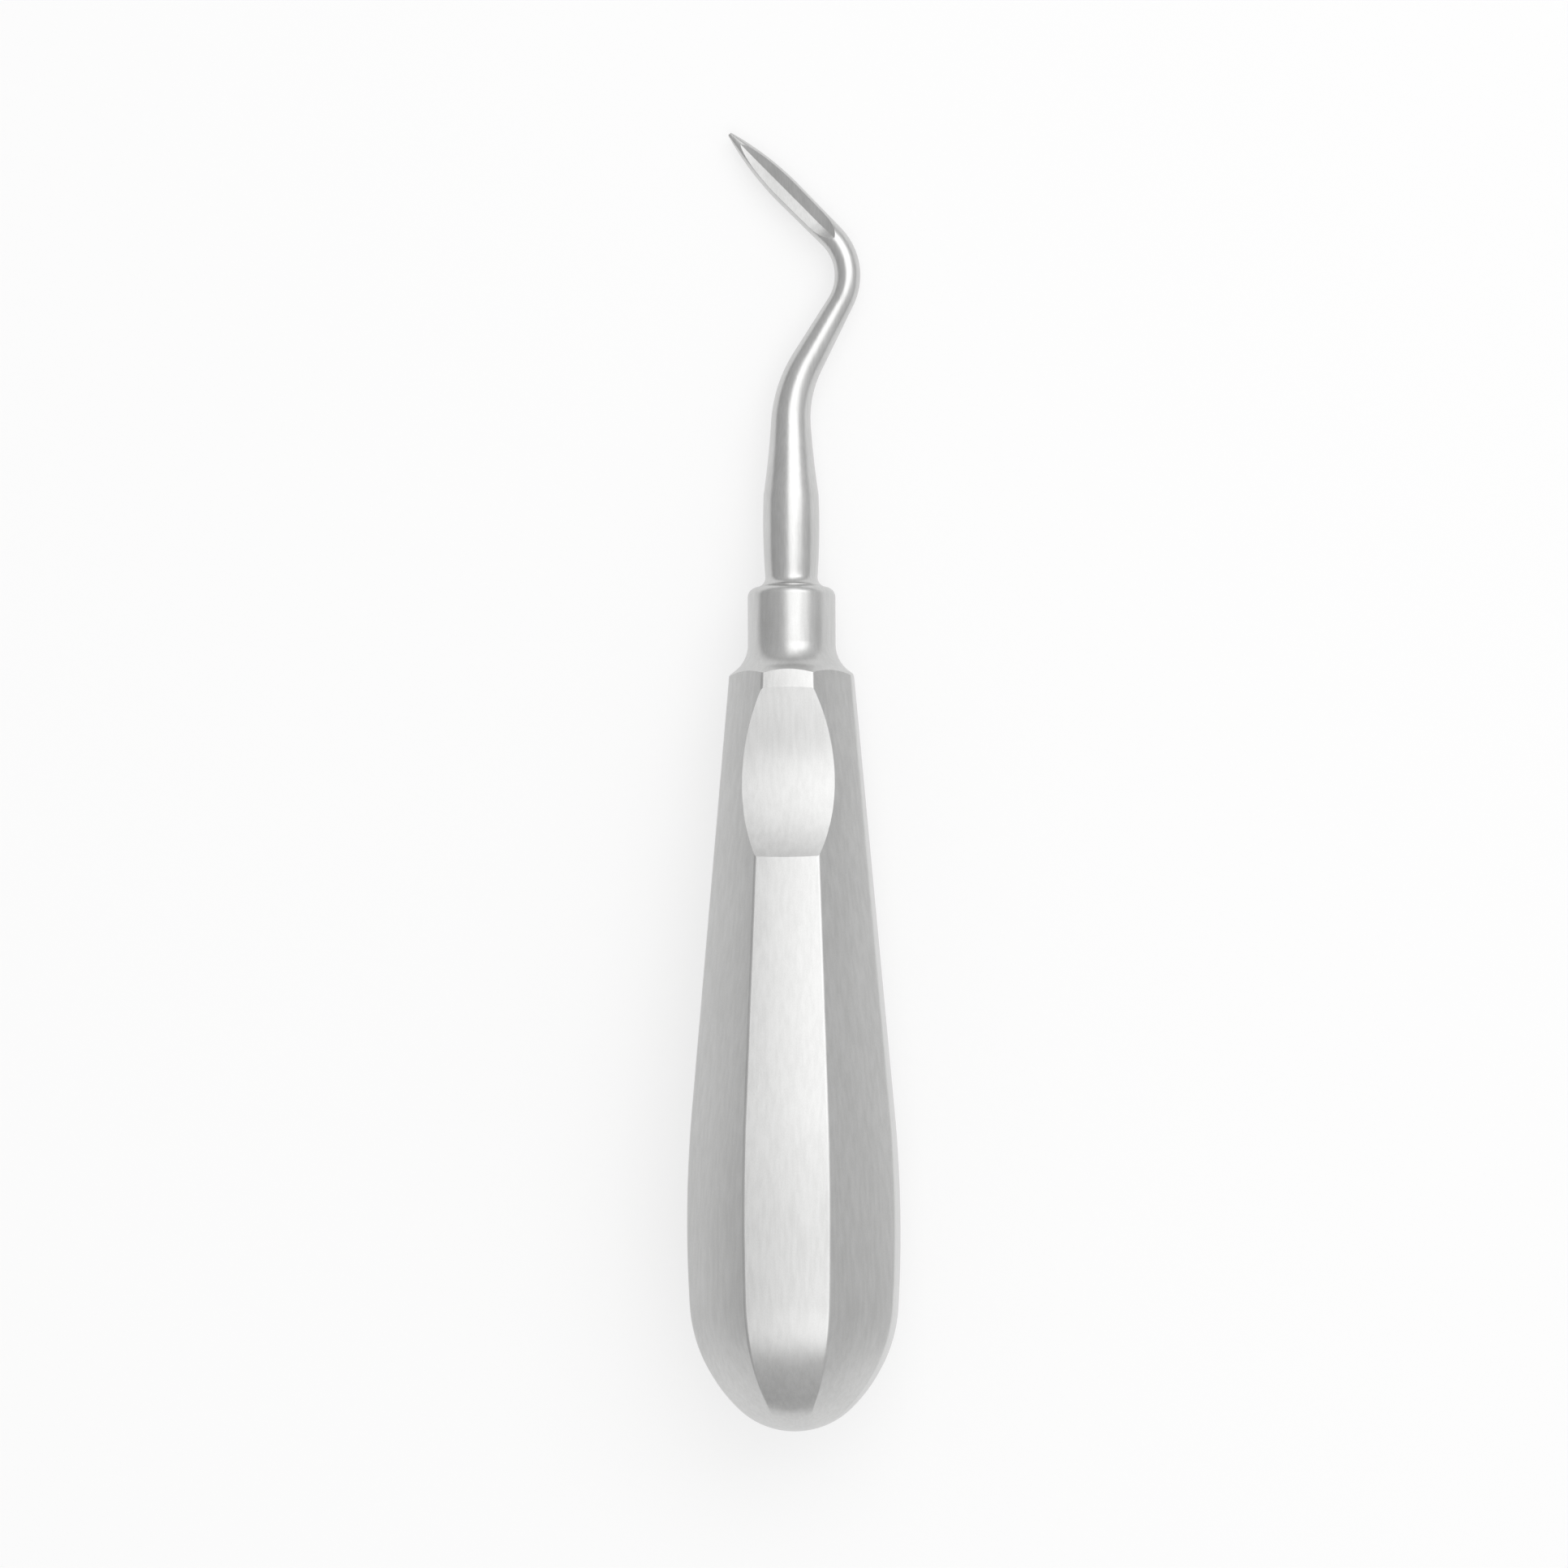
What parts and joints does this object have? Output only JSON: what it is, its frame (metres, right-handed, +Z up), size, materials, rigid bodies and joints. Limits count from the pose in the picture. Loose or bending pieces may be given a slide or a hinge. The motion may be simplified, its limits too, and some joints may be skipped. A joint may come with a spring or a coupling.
{
  "type": "dental elevator",
  "caption": "Dental root elevator with a hollow octagonal steel handle, a thumb scoop, a turned collar, a bent round shank and a hollow-ground pointed blade.",
  "frame": {"origin": "middle of the flat back facet that the tool lies on", "axes": "+Y along the resting facet towards the blade, +Z up, out of the facet with the thumb scoop, +X to the right of the tool seen from above with the blade away from the viewer"},
  "size_m": [0.0248, 0.1554, 0.0259],
  "materials": {
    "handle_steel": "satin stainless steel, fine matt grain, with softly rounded facet edges",
    "working_steel": "bright polished stainless steel, fine finishing marks along the shank"
  },
  "bodies": {
    "root": {"handle": "handle_steel", "working_end": "working_steel"}
  },
  "joints": []
}
